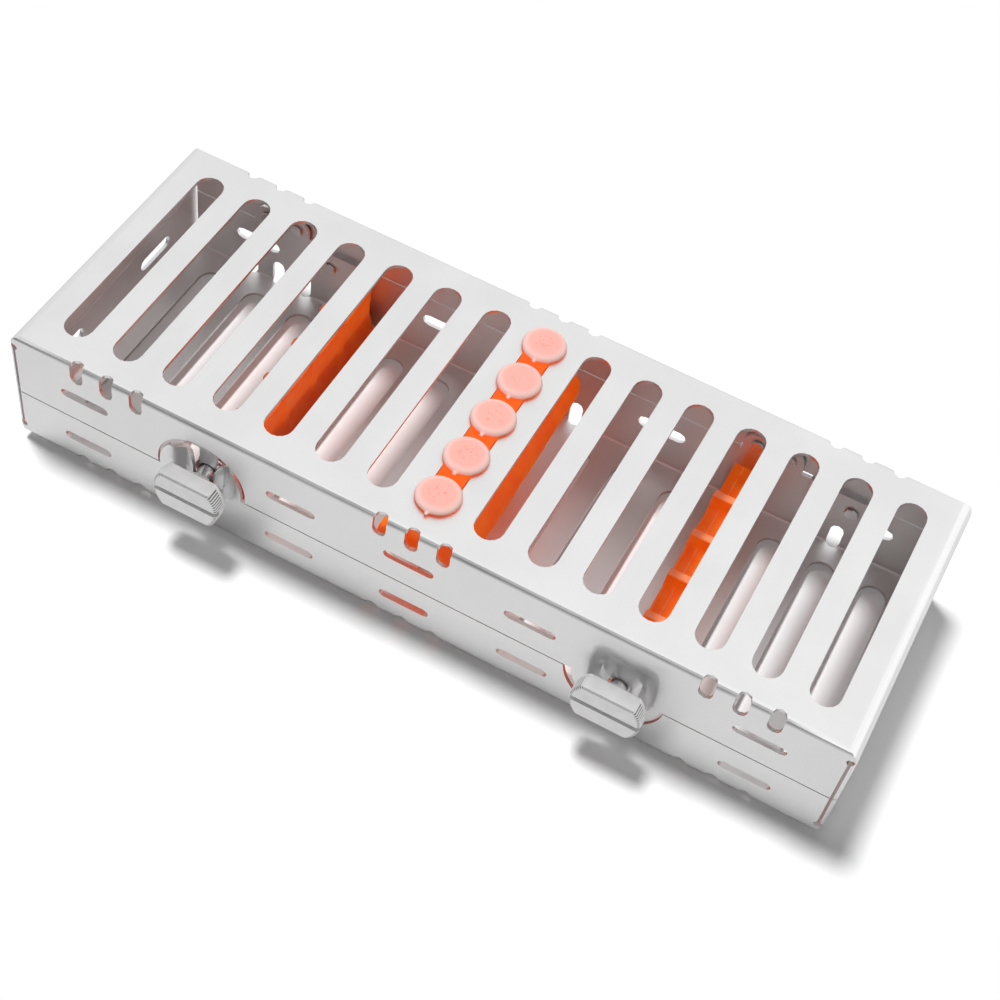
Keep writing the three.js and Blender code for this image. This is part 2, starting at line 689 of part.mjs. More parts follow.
function washer(x) {
  return ring(circle(x, knobZ, WASHER_RADIUS), x, washerY, washerY + WASHER_SHEET);
}

function nut(x) {
  const corners = Array.from({ length: NUT_SIDES }, (_, i) => [
    x + NUT_RADIUS * Math.cos((2 * i * Math.PI) / NUT_SIDES),
    knobZ + NUT_RADIUS * Math.sin((2 * i * Math.PI) / NUT_SIDES),
  ]);
  return ring(outline(corners), x, nutY, nutY + NUT_DEPTH);
}

// Silicone heads outside a sheet and the neck that joins them through its slot; side is +1 upwards
function headsAndNeck(x, sheetZ, side) {
  const base = sheetZ + side * SEAT; // the heads' flat side, and nearly the neck's
  const neck = slotUpright(x, 0, 2 * neckReach, 2 * neckHalf);
  const inner = sheetZ - side * (SHEET + SEAT + FLANGE_HEIGHT / 2);
  const heads = headPlaces.map((y) => {
    const profile = [new THREE.Vector2(0, 0), new THREE.Vector2(HEAD_RADIUS - HEAD_EDGE / 2, 0)];
    for (let i = 0; i <= HEAD_RINGS; i += 1) {
      const angle = (i * Math.PI) / (2 * HEAD_RINGS);
      profile.push(
        new THREE.Vector2(
          HEAD_RADIUS - HEAD_EDGE * (1 - Math.cos(angle)),
          HEAD_HEIGHT - SEAT - HEAD_EDGE * (1 - Math.sin(angle)),
        ),
      );
    }
    profile.push(new THREE.Vector2(0, HEAD_HEIGHT - SEAT));
    const head = new THREE.LatheGeometry(profile, HEAD_SIDES);
    return solid(head.rotateX((side * Math.PI) / 2).translate(x, y, base));
  });
  const outer = base + (side * SEAT) / 2;
  return join(alongZ(neck, Math.min(inner, outer), Math.max(inner, outer), SMALL_FACETS), ...heads);
}

function holdDown() {
  const top = topZ - SHEET - SEAT;
  const low = topZ - WING_DROP;
  const tip = topZ - WING_TIP_DROP;
  const section = outline([
    [-FLANGE_HALF, top],
    [-FLANGE_HALF, top - FLANGE_HEIGHT],
    [-HOLD_STEM_HALF, top - 2 * FLANGE_HEIGHT],
    [-HOLD_STEM_HALF, low + WING_SHEET / 2],
    [-WING_HALF, tip + WING_SHEET],
    [-WING_HALF, tip],
    [0, low - WING_SHEET / 2],
    [WING_HALF, tip],
    [WING_HALF, tip + WING_SHEET],
    [HOLD_STEM_HALF, low + WING_SHEET / 2],
    [HOLD_STEM_HALF, top - 2 * FLANGE_HEIGHT],
    [FLANGE_HALF, top - FLANGE_HEIGHT],
    [FLANGE_HALF, top],
  ]);
  const half = slotReach - WING_INSET;
  const plan = roundRectangle(-WING_HALF - WELD, -half, WING_HALF + WELD, half, WING_CORNER);
  const strip = alongY(section, -half, half).intersect(alongZ(plan, tip - OVERRUN, topZ, BEND_FACETS));
  return strip.add(headsAndNeck(0, topZ, 1));
}

function rail(x) {
  const floor = floorZ + SHEET + SEAT;
  const ribTop = topZ - RIB_TOP_DROP;
  const saddle = topZ - SADDLE_DROP;
  const crease = topZ - CREASE_DROP;
  const section = outline([
    [-SKIRT_HALF, floor],
    [SKIRT_HALF, floor],
    [SKIRT_HALF, floor + FLANGE_HEIGHT],
    [BODY_HALF, crease],
    [BODY_HALF, saddle],
    [RIB_HALF, ribTop],
    [-RIB_HALF, ribTop],
    [-BODY_HALF, saddle],
    [-BODY_HALF, crease],
    [-SKIRT_HALF, floor + FLANGE_HEIGHT],
  ].map(([dx, z]) => [x + dx, z]));
  const gap = (headPitch - RIB_THICK) / 2;
  const saddles = headPlaces.map((y, i) => {
    const front = i > 0 ? y - gap : railFrontY - OVERRUN;
    const back = i < HEADS - 1 ? y + gap : railBackY + OVERRUN;
    const cut = new THREE.Shape();
    cut.moveTo(back, ribTop + OVERRUN);
    cut.lineTo(front, ribTop + OVERRUN);
    cut.lineTo(front, saddle + SADDLE_ROUND);
    cut.absarc(front + SADDLE_ROUND, saddle + SADDLE_ROUND, SADDLE_ROUND, Math.PI, 1.5 * Math.PI);
    cut.absarc(back - SADDLE_ROUND, saddle + SADDLE_ROUND, SADDLE_ROUND, 1.5 * Math.PI, 2 * Math.PI);
    return alongX(cut, x - SKIRT_HALF - OVERRUN, x + SKIRT_HALF + OVERRUN, BEND_FACETS);
  });
  const relief = rectangle(
    railFrontY - OVERRUN,
    knobZ - TONGUE_EYE - 2 * CLEAR,
    stemEndY + CLEAR,
    ribTop + OVERRUN,
  );
  const strip = alongY(section, railFrontY, railBackY)
    .subtract(join(...saddles))
    .subtract(alongX(relief, x - SKIRT_HALF - OVERRUN, x + SKIRT_HALF + OVERRUN));
  return strip.add(headsAndNeck(x, floorZ, -1));
}

// Materials
const steel = new THREE.MeshStandardMaterial({ color: 0xdfe0e1, roughness: 0.38, metalness: 0.85 });
const turnedSteel = new THREE.MeshStandardMaterial({ color: 0xd0d1d2, roughness: 0.28, metalness: 0.95 });
const silicone = new THREE.MeshStandardMaterial({ color: 0xfa6214, roughness: 0.55, metalness: 0 });

// The assembly stands on the rails' feet, centred front to back between the knobs and the hinges
const root = new THREE.Group();
const assembly = new THREE.Group();
assembly.position.y = -(knobFrontY + hingeY + BARREL_RADIUS) / 2;
root.add(assembly);

function place(name, manifold, material) {
  const mesh = new THREE.Mesh(geometryOf(manifold), material);
  mesh.name = name;
  assembly.add(mesh);
}

place("base_tray", pan(-1), steel);
place("lid_shell", pan(1), steel);
place("lid_hold_down", holdDown(), silicone);
place("base_rail_left", rail(-railX), silicone);
place("base_rail_right", rail(railX), silicone);

const hinges = { left: hingeLeft, right: hingeRight };
const sides = { lid: 1, base: -1 };
for (const [where, hinge] of Object.entries(hinges)) {
  for (const [owner, side] of Object.entries(sides)) {
    place(`hinge_leaf_${owner}_${where}`, hingeLeaf(hinge, side), steel);
    rivetPlaces(hinge, side).forEach(([x, z], i) => {
      place(`hinge_rivet_${owner}_${where}_${i + 1}`, rivet(x, z), turnedSteel);
    });
  }
  place(`hinge_pin_${where}`, hingePin(hinge), turnedSteel);
}

const latches = { left: latchLeft, right: latchRight };
for (const [where, x] of Object.entries(latches)) {
  place(`latch_knob_${where}`, knob(x), turnedSteel);
  place(`latch_stem_${where}`, stem(x), turnedSteel);
  place(`latch_washer_${where}`, washer(x), turnedSteel);
  place(`latch_nut_${where}`, nut(x), turnedSteel);
}

export default root;
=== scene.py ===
"""Looks of a dental instrument cassette: satin steel pans, turned clamp knobs and orange silicone strips."""
import json
import math

import bpy
from mathutils import Matrix, Vector


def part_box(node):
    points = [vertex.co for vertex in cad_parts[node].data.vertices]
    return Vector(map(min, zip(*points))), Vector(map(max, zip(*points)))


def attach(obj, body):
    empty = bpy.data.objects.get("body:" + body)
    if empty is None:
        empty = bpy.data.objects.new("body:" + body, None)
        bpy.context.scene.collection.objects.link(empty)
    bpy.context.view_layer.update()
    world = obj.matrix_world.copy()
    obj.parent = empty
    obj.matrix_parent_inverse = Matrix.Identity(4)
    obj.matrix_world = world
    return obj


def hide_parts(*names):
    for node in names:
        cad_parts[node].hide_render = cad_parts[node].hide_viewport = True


MM = 0.001

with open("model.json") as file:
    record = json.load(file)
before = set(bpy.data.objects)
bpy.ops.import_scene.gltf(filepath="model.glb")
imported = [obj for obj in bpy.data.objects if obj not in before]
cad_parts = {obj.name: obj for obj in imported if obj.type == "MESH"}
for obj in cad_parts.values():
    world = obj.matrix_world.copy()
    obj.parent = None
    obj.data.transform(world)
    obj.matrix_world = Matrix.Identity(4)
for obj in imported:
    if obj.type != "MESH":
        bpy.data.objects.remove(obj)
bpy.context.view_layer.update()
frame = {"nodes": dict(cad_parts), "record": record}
nodes = frame["nodes"]

# The photograph's camera: where it stands, and its turn about the object
CAMERA_PLACE = Vector((78.66, -215.58, 308.84)) * MM
CAMERA_AZIMUTH = math.radians(18.908)
CAMERA_ELEVATION = math.radians(52.700)
CAMERA_ROLL = math.radians(10.755)
CAMERA_LENS = 66.74
CAMERA_SENSOR = 36
CAMERA_NEAR = 10 * MM

# Places that the frame's boxes give
strip_low, strip_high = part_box("lid_hold_down")
middle_y = (strip_low[1] + strip_high[1]) / 2
lid_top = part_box("lid_shell")[1][2]
base_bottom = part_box("base_tray")[0][2]

# Sheet metal
SHEET = 0.8 * MM
SOFT_EDGE = 0.12 * MM  # rounding of punched and cut metal edges
SOFT_SEGMENTS = 2
BENT_ANGLE = 50  # degrees below which a sheet's facets are one bend
CUT_ANGLE = 30  # the same on machined pieces
FLAT_WEIGHT = 80  # pull of large flat faces on the shading
WELD = 0.001 * MM

# Silicone heads and the neck that joins them through a slot
HEADS = 5
HEAD_PITCH = 11.15 * MM
HEAD_RADIUS = 4.65 * MM
HEAD_HEIGHT = 1.65 * MM
HEAD_EDGE = 0.35 * MM  # round lower edge
HEAD_CROWN = 0.32  # power of the crown's curve: less is flatter
HEAD_FOOT_SHARE = 0.02  # of the radius, where the flat side's loft starts
HEAD_SIDES = 64
HEAD_RINGS = 12
NECK_HALF = 2.9 * MM
NECK_REACH = 26.0 * MM
NECK_TOP = 0.3 * MM  # proud of the sheet
NECK_END_SHARE = 0.97  # of the quarter turn that rounds an end, which leaves it a small flat
FLARE = 1.1 * MM  # width that the neck gains at a head
FLARE_RUN = 2.6 * MM
FLARE_FOOT = 0.04 * MM  # over the sheet
FLARE_STEPS = 24
NIB_HALF = 0.3 * MM  # moulding gate on each head's front edge
NIB_REACH = 0.65 * MM
NIB_HEIGHT = 0.8 * MM
SEAT = 0.15 * MM
FLANGE_HALF = 4.2 * MM
FLANGE_HEIGHT = 1.1 * MM
FILLET_STEPS = 6

# Hold-down strip
WING_ROOT = 6.0 * MM  # below the lid's top
WING_SHEET = 1.6 * MM
WING_HALF = 8.7 * MM
WING_CORNER = 4.0 * MM
WING_LIP = 3.2 * MM  # soft front end, past the slot's end
WING_SPREAD = 0.9 * MM  # what the wings open out by towards the front
WING_DROOP = 0.8 * MM
WING_STEPS = 48
HOLD_STEM_HALF = 1.6 * MM

# Instrument rails
RIB_HALF_THICK = 0.9 * MM
RIB_WIDE = 2.62 * MM  # half width across a rib
SADDLE_WIDE = 2.2 * MM  # half width at a saddle's top
RIB_TAPER = 0.25 * MM
SADDLE_DROP = 4.0 * MM  # below the ribs' tops
SADDLE_ROUND = 2.0 * MM
CREASE_DROP = 11.0 * MM
SKIRT_HALF = 4.2 * MM

# Clamp knobs
KNURLS = 72
KNURL_DEPTH = 0.3 * MM
KNURL_STEPS = 8  # points of a ring in each knurl
KNOB_CHAMFER = 0.35 * MM
KNOB_COLLAR = 1.0 * MM
KNOB_SLOT = 1.2 * MM
KNOB_SLOT_DEPTH = 1.3 * MM
KNOB_EDGE = 0.06 * MM
KNOB_EDGE_SEGMENTS = 1
HUB_RADIUS = 2.6 * MM
HUB_LENGTH = 1.6 * MM

# Skin of the moulded pieces
SKIN_VOXEL = 0.25 * MM
SKIN_SMOOTHING = 5
SKIN_SMOOTHING_SHARE = 0.5


def placed(name, data):
    """A new object of the scene."""
    obj = bpy.data.objects.new(name, data)
    bpy.context.scene.collection.objects.link(obj)
    return obj


def camera():
    """The photograph's view."""
    data = bpy.data.cameras.new("photo_camera")
    data.lens = CAMERA_LENS
    data.sensor_width = CAMERA_SENSOR
    data.clip_start = CAMERA_NEAR
    obj = placed("photo_camera", data)
    turn = Matrix.Rotation(CAMERA_AZIMUTH, 3, "Z") @ Matrix.Rotation(math.pi / 2 - CAMERA_ELEVATION, 3, "X")
    rolled = turn @ Matrix.Rotation(CAMERA_ROLL, 3, "Z")
    obj.matrix_world = Matrix.Translation(CAMERA_PLACE) @ rolled.to_4x4()
    bpy.context.scene.camera = obj


# Node helpers
class Graph:
    """A node tree with short calls to add and link nodes."""

    def __init__(self, tree):
        self.tree = tree
        self.tree.nodes.clear()

    def feed(self, socket, value):
        """Links a socket to another, or sets its own value."""
        if isinstance(value, bpy.types.NodeSocket):
            self.tree.links.new(value, socket)
        else:
            socket.default_value = value

    def add(self, kind, values=None, **settings):
        node = self.tree.nodes.new(kind)
        for name, value in settings.items():
            setattr(node, name, value)
        for key, value in (values or {}).items():
            self.feed(node.inputs[key], value)
        return node

    def math(self, operation, *values):
        return self.add("ShaderNodeMath", dict(enumerate(values)), operation=operation).outputs[0]

    def product(self, first, *others):
        for other in others:
            first = self.math("MULTIPLY", first, other)
        return first

    def length(self, first, second):
        """Length of a flat vector by its two parts."""
        squares = self.math("ADD", self.product(first, first), self.product(second, second))
        return self.math("SQRT", squares)

    def away(self, value, middle):
        """How far a value is from a middle."""
        return self.math("ABSOLUTE", self.math("SUBTRACT", value, middle))

    def ramp(self, value, low, high, from_value=0.0, to_value=1.0):
        """Soft step: from_value below low, and to_value above high."""
        keys = {0: value, 1: low, 2: high, 3: from_value, 4: to_value}
        return self.add("ShaderNodeMapRange", keys, interpolation_type="SMOOTHSTEP").outputs[0]

    def mix(self, factor, a, b):
        """Colour between a and b."""
        node = self.add("ShaderNodeMix", data_type="RGBA")
        for index, value in ((0, factor), (6, a), (7, b)):
            self.feed(node.inputs[index], value)
        return node.outputs[2]

    def blend(self, factor, a, b):
        """Number between a and b."""
        return self.add("ShaderNodeMix", {0: factor, 2: a, 3: b}).outputs[0]

    def axes(self, vector):
        return self.add("ShaderNodeSeparateXYZ", {0: vector}).outputs

    def coordinate(self, kind):
        return self.add("ShaderNodeTexCoord").outputs[kind]

    def stretched(self, vector, scale):
        return self.add("ShaderNodeMapping", {"Vector": vector, "Scale": scale}).outputs[0]

    def noise(self, vector, scale, detail, roughness=0.5):
        keys = {"Vector": vector, "Scale": scale, "Detail": detail, "Roughness": roughness}
        return self.add("ShaderNodeTexNoise", keys).outputs["Fac"]

    def bump(self, height, strength, depth):
        keys = {"Height": height, "Strength": strength, "Distance": depth}
        return self.add("ShaderNodeBump", keys).outputs[0]

    def output(self, surface, kind="ShaderNodeOutputMaterial"):
        self.add(kind, {"Surface": surface})

    def principled(self, keys):
        self.output(self.add("ShaderNodeBsdfPrincipled", keys).outputs[0])


def grey(value):
    return (value, value, value, 1)


def material(name):
    made = bpy.data.materials.new(name)
    made.use_nodes = True
    return made, Graph(made.node_tree)


# Below, a noise is its scale per metre, its detail and sometimes its roughness. A band holds the two
# values of a pattern between which one look turns into the other.
CLOUD_BAND = (0.3, 0.7)
GRAIN_BAND = (0.35, 0.65)

# Sheet steel
SHEET_CLOUDS = (60, 3)
SHEET_GRAIN = (5200, 2, 0.6)
ROLLED_STRETCH = (40, 900, 900)
ROLLED_LINES = (1, 3)
SHEET_SHADES = (0.81, 0.85)
SHEET_GRAIN_SHADE = 0.66
SHEET_GRAIN_SHARE = 0.16
SHEET_ROUGHNESS = (0.38, 0.44)
ROLLED_ROUGHNESS = 0.05
SHEET_BUMP = (0.12, 0.02 * MM)  # strength and depth


def satin_steel():
    """Bead-blasted stainless sheet: fine grain, faint clouds and drawn lines along the cassette."""
    made, g = material("satin_steel")
    place = g.coordinate("Object")
    clouds = g.noise(place, *SHEET_CLOUDS)
    grain = g.noise(place, *SHEET_GRAIN)
    rolled = g.noise(g.stretched(place, ROLLED_STRETCH), *ROLLED_LINES)
    dark, light = SHEET_SHADES
    cloudy = g.mix(g.ramp(clouds, *CLOUD_BAND), grey(dark), grey(light))
    grainy = g.ramp(grain, *GRAIN_BAND, 0.0, SHEET_GRAIN_SHARE)
    satin = g.ramp(clouds, *CLOUD_BAND, *SHEET_ROUGHNESS)
    g.principled(
        {
            "Base Color": g.mix(grainy, cloudy, grey(SHEET_GRAIN_SHADE)),
            "Metallic": 1.0,
            "Roughness": g.math("ADD", satin, g.product(rolled, ROLLED_ROUGHNESS)),
            "Normal": g.bump(grain, *SHEET_BUMP),
        }
    )
    return made


# Turned steel
TOOL_STRETCH = (120, 9000, 9000)
TOOL_LINES = (1, 3, 0.6)
TURNED_CLOUDS = (400, 3)
TURNED_LIGHTER = 0.06  # added to the shade in the clouds
TURNED_ROUGHNESS = (-0.05, 0.07)  # added to the roughness along the tool's lines
TURNED_BUMP = (0.25, 0.02 * MM)
# A look's grooves value is the share of painted shade in the knurl grooves
KNOB_LOOK = {"shade": 0.75, "rough": 0.42, "metal": 0.65, "grooves": 0.75}
FASTENER_LOOK = {"shade": 0.74, "rough": 0.30, "metal": 1.0, "grooves": 0.0}

# Painted shade in the knobs' knurl grooves
GROOVE_PAINTED_SHADE = 0.06
GROOVE_WAVE_BAND = (-0.6, 0.6)  # of the knurls' cosine
GROOVE_RIM_SHARES = (2.0, 1.2)  # of the knurls' depth, inwards from the rim
GROOVE_FLAT_FADE = 0.2 * MM  # towards the flats
GROOVE_COLLAR_FADE = 0.1 * MM
KNOB_SWITCH = 1.0 * MM  # from the cassette's middle, where the nearer knob changes


def knurl_grooves(g, place):
    """1 along the knobs' knurl grooves, where the painted shade goes, and 0 elsewhere."""
    left, right = (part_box(f"latch_knob_{side}") for side in ("left", "right"))
    x, y, z = g.axes(place)
    middles = ((low[0] + high[0]) / 2 for low, high in (left, right))
    across = g.math("SUBTRACT", x, g.ramp(x, -KNOB_SWITCH, KNOB_SWITCH, *middles))
    high = g.math("SUBTRACT", z, (right[0][2] + right[1][2]) / 2)
    radius = (right[1][0] - right[0][0]) / 2
    half = (right[1][2] - right[0][2]) / 2
    turns = g.math("COSINE", g.product(g.math("ARCTAN2", high, across), KNURLS))
    wave = g.ramp(turns, *GROOVE_WAVE_BAND, 1.0, 0.0)
    side = g.ramp(g.math("ABSOLUTE", high), half - GROOVE_FLAT_FADE, half, 1.0, 0.0)
    rim = g.ramp(g.length(across, high), *(radius - share * KNURL_DEPTH for share in GROOVE_RIM_SHARES))
    collar_y = right[1][1] - HUB_LENGTH - KNOB_COLLAR
    return g.product(wave, side, rim, g.ramp(y, collar_y - GROOVE_COLLAR_FADE, collar_y, 1.0, 0.0))


def turned_steel(name, shade, rough, metal, grooves):
    """Machined stainless: fine tool lines along X and a tighter gloss than the sheet, with a grooves share
    of painted shade in the knurl grooves.
    """
    made, g = material(name)
    place = g.coordinate("Object")
    lines = g.noise(g.stretched(place, TOOL_STRETCH), *TOOL_LINES)
    clouds = g.noise(place, *TURNED_CLOUDS)
    tint = g.mix(g.ramp(clouds, *CLOUD_BAND), grey(shade), grey(shade + TURNED_LIGHTER))
    # Painted shade in the knurl grooves
    if grooves:
        tint = g.mix(g.product(knurl_grooves(g, place), grooves), tint, grey(GROOVE_PAINTED_SHADE))
    g.principled(
        {
            "Base Color": tint,
            "Metallic": metal,
            "Roughness": g.ramp(lines, *CLOUD_BAND, *(rough + change for change in TURNED_ROUGHNESS)),
            "Normal": g.bump(lines, *TURNED_BUMP),
        }
    )
    return made


# Silicone
ORANGE = (0.97, 0.155, 0.005, 1)
DEEP_ORANGE = (0.93, 0.120, 0.003, 1)
# Darker orange above the sheet: painted shade, which also offsets the painted glow there
NECK_PAINTED_SHADE_ORANGE = (0.66, 0.078, 0.003, 1)
# Paler orange of the rails' painted sheen on rib tops and painted highlight line
PAINTED_HIGHLIGHT_ORANGE = (0.97, 0.25, 0.11, 1)
# Heads' tops: a painted pale sheen, a whiter painted highlight at the rim and darker speckles
PAINTED_SHEEN_PINK = (0.97, 0.47, 0.41, 1)
PAINTED_RIM_HIGHLIGHT_PINK = (0.98, 0.62, 0.57, 1)
SPECKLE_PINK = (0.93, 0.30, 0.21, 1)
SILICONE_SPECKLE = (2600, 3, 0.7)
SILICONE_ROUGHNESS = (0.46, 0.60)
SILICONE_BUMP = (0.22, 0.03 * MM)
SCATTER = 0.85
SCATTER_COLOURS = (1.0, 0.6, 0.15)
SCATTER_DEPTH = 4.0 * MM
PAINTED_GLOW_STRENGTH = 0.31  # painted glow: emission that lifts the orange silicone where the sheet shades it


def orange_body(g, clouds):
    """Orange with faint deeper clouds."""
    return g.mix(g.ramp(clouds, *GRAIN_BAND), DEEP_ORANGE, ORANGE)


def silicone_surface(g, colour, place, scatter, painted_glow_colour):
    """Shader of moulded silicone: a soft sheen over a body that lets light through a little, and a painted
    glow in the given colour.
    """
    speckle = g.noise(place, *SILICONE_SPECKLE)
    g.principled(
        {
            "Base Color": colour,
            "Roughness": g.ramp(speckle, *CLOUD_BAND, *SILICONE_ROUGHNESS),
            "Normal": g.bump(speckle, *SILICONE_BUMP),
            "Subsurface Weight": scatter,
            "Subsurface Radius": SCATTER_COLOURS,
            "Subsurface Scale": SCATTER_DEPTH,
            "Emission Color": painted_glow_colour,
            "Emission Strength": PAINTED_GLOW_STRENGTH,
        }
    )


# Heads: shares are of their radius, and heights are over the lid
HEAD_CLOUDS = (250, 2)
HEAD_DOTS = (1900, 2, 0.6)
HEAD_DOT_BAND = (0.55, 0.66)
HEAD_DOT_STRENGTH = 0.8
SPECKLED_SHARES = (0.25, 0.70)
# Where the painted highlight at the heads' rims and the painted sheen on their tops lie
RIM_SHARES = (0.62, 0.92)
PAINTED_SHEEN_HEIGHTS = (0.45 * MM, 0.85 * MM)
DENSE_HEIGHT = 0.5 * MM
DENSE_SCATTER = 0.2


def head_silicone():
    """Orange strip with a painted pale sheen on the heads' tops, whiter as a painted highlight at the rim
    and speckled at the middle; painted shade darkens it above the sheet, and a painted glow lifts all but
    the tops.
    """
    made, g = material("silicone_heads")
    place = g.coordinate("Object")
    x, y, z = g.axes(place)
    body = orange_body(g, g.noise(place, *HEAD_CLOUDS))
    along = g.math("ADD", y, (HEADS + 0.5) * HEAD_PITCH - middle_y)
    from_head = g.math("SUBTRACT", g.math("MODULO", along, HEAD_PITCH), HEAD_PITCH / 2)
    apart = g.length(x, from_head)
    dots = g.ramp(g.noise(place, *HEAD_DOTS), *HEAD_DOT_BAND)
    middle = g.ramp(apart, *(share * HEAD_RADIUS for share in SPECKLED_SHARES), 1.0, 0.0)
    speckled = g.mix(g.product(dots, middle, HEAD_DOT_STRENGTH), PAINTED_SHEEN_PINK, SPECKLE_PINK)
    # Painted highlight, whiter towards the heads' rims
    rim = g.ramp(apart, *(share * HEAD_RADIUS for share in RIM_SHARES))
    # Painted pale sheen on the heads' tops
    sheen_top = g.ramp(z, *(lid_top + height for height in PAINTED_SHEEN_HEIGHTS))
    # Painted shade above the sheet's middle, set against the painted glow
    outside = g.ramp(z, lid_top - SHEET, lid_top - SHEET / 2)
    strip = g.mix(sheen_top, g.mix(outside, body, NECK_PAINTED_SHADE_ORANGE), g.mix(rim, speckled, PAINTED_RIM_HIGHLIGHT_PINK))
    scatter = g.ramp(z, lid_top, lid_top + DENSE_HEIGHT, SCATTER, DENSE_SCATTER)
    # Painted glow in the body's orange everywhere but the heads' tops
    silicone_surface(g, strip, place, scatter, g.mix(sheen_top, body, grey(0)))
    return made


# Rails: drops are below the ribs' tops
RAIL_CLOUDS = (420, 3)
# Painted sheen on upward-facing rib tops
RIB_TOP_DROPS = (0.9 * MM, 0.2 * MM)
RIB_UP_BAND = (0.2, 0.8)
LINE_INSET = 0.4 * MM  # of the painted highlight line, from the rail's middle towards the cassette's
LINE_EDGES = (0.07 * MM, 0.22 * MM)
LINE_STRENGTH = 0.8
LINE_UP_BAND = (0.3, 0.8)
LINE_CLOUD_BAND = (0.3, 0.5)
# Painted glow: only over a rail's upper part and back from its front end
PAINTED_GLOW_DROPS = (12.8 * MM, 8.8 * MM)
PAINTED_GLOW_STARTS = (4.2 * MM, 8.4 * MM)  # behind a rail's front end


def rail_silicone():
    """Orange rail with a painted sheen on the rib tops, a painted highlight line along the saddles and a
    painted glow over its upper part.
    """
    made, g = material("silicone_rail")
    place = g.coordinate("Object")
    x, y, z = g.axes(place)
    up = g.axes(g.coordinate("Normal"))[2]
    clouds = g.noise(place, *RAIL_CLOUDS)
    rail_low, rail_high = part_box("base_rail_right")
    rail_x = (rail_low[0] + rail_high[0]) / 2
    rib_top = rail_high[2]
    # Painted highlight line along the saddles, on upward faces, broken by the clouds
    line_x = g.away(g.math("ABSOLUTE", x), rail_x - LINE_INSET)
    line = g.product(g.ramp(line_x, *LINE_EDGES, LINE_STRENGTH, 0.0), g.ramp(up, *LINE_UP_BAND))
    broken_line = g.product(line, g.ramp(clouds, *LINE_CLOUD_BAND))
    lined = g.mix(broken_line, orange_body(g, clouds), PAINTED_HIGHLIGHT_ORANGE)
    # Painted sheen on the upward-facing rib tops
    top = g.product(g.ramp(z, *(rib_top - drop for drop in RIB_TOP_DROPS)), g.ramp(up, *RIB_UP_BAND))
    surface = g.mix(top, lined, PAINTED_HIGHLIGHT_ORANGE)
    # Painted glow over the rail's upper part, back from its front end
    above = g.ramp(z, *(rib_top - drop for drop in PAINTED_GLOW_DROPS))
    behind = g.ramp(y, *(rail_low[1] + start for start in PAINTED_GLOW_STARTS))
    silicone_surface(g, surface, place, SCATTER, g.mix(g.product(behind, above), grey(0), surface))
    return made


# Geometry helpers
def soften(obj, degrees, width=SOFT_EDGE, segments=SOFT_SEGMENTS):
    """Joins a faceted solid's vertices, shades its curves smooth and rounds its edges, all in modifiers."""
    name = f"smooth_below_{degrees}"
    shade = obj.modifiers.new("smooth_curves", "NODES")
    shade.node_group = bpy.data.node_groups.get(name) or smooth_curves(name, math.radians(degrees))
    bevel = obj.modifiers.new("soft_edges", "BEVEL")
    bevel.width = width
    bevel.segments = segments
    bevel.limit_method = "ANGLE"
    bevel.angle_limit = math.radians(degrees)
    weighted = obj.modifiers.new("flat_faces", "WEIGHTED_NORMAL")
    weighted.keep_sharp = True
    weighted.weight = FLAT_WEIGHT


def smooth_curves(name, limit):
    """Geometry nodes that weld a solid and shade it smooth, but for the edges over an angle."""
    tree = bpy.data.node_groups.new(name, "GeometryNodeTree")
    for way in ("INPUT", "OUTPUT"):
        tree.interface.new_socket("Geometry", in_out=way, socket_type="NodeSocketGeometry")
    g = Graph(tree)

    def shaded(geometry, domain, keys):
        return g.add("GeometryNodeSetShadeSmooth", {0: geometry, **keys}, domain=domain).outputs[0]

    solid = g.add("NodeGroupInput").outputs[0]
    bare = g.add("GeometryNodeRemoveAttribute", {0: solid, "Name": "custom_normal"}).outputs[0]
    whole = g.add("GeometryNodeMergeByDistance", {0: bare, "Distance": WELD}).outputs[0]
    angle = g.add("GeometryNodeInputMeshEdgeAngle").outputs["Unsigned Angle"]
    sharp = g.add("FunctionNodeCompare", {0: angle, 1: limit}, operation="GREATER_THAN").outputs[0]
    round_faces = shaded(whole, "FACE", {"Shade Smooth": True})
    all_edges = shaded(round_faces, "EDGE", {"Shade Smooth": True})
    g.add("NodeGroupOutput", {0: shaded(all_edges, "EDGE", {"Selection": sharp, "Shade Smooth": False})})
    return tree


def give(obj, finish):
    """Makes a finish the piece's only material."""
    obj.data.materials.clear()
    obj.data.materials.append(finish)


def mesh_piece(name, points, faces):
    """A new object with a mesh of its own."""
    mesh = bpy.data.meshes.new(name)
    mesh.from_pydata(points, [], faces)
    return placed(name, mesh)


class Solid:
    """Closed lofts gathered into one mesh."""

    def __init__(self):
        self.points = []
        self.faces = []

    def loft(self, rings):
        start = len(self.points)
        count = len(rings[0])
        for ring in rings:
            self.points.extend(ring)
        for row in range(len(rings) - 1):
            near = start + row * count
            far = near + count
            for i in range(count):
                j = (i + 1) % count
                self.faces.append((near + i, near + j, far + j, far + i))
        last = start + (len(rings) - 1) * count
        self.faces.append(tuple(reversed(range(start, start + count))))
        self.faces.append(tuple(range(last, last + count)))

    def piece(self, name):
        return mesh_piece(name, self.points, self.faces)


def quarter_turn(steps):
    """Angles from 0 to a right angle."""
    return [i / steps * math.pi / 2 for i in range(steps + 1)]


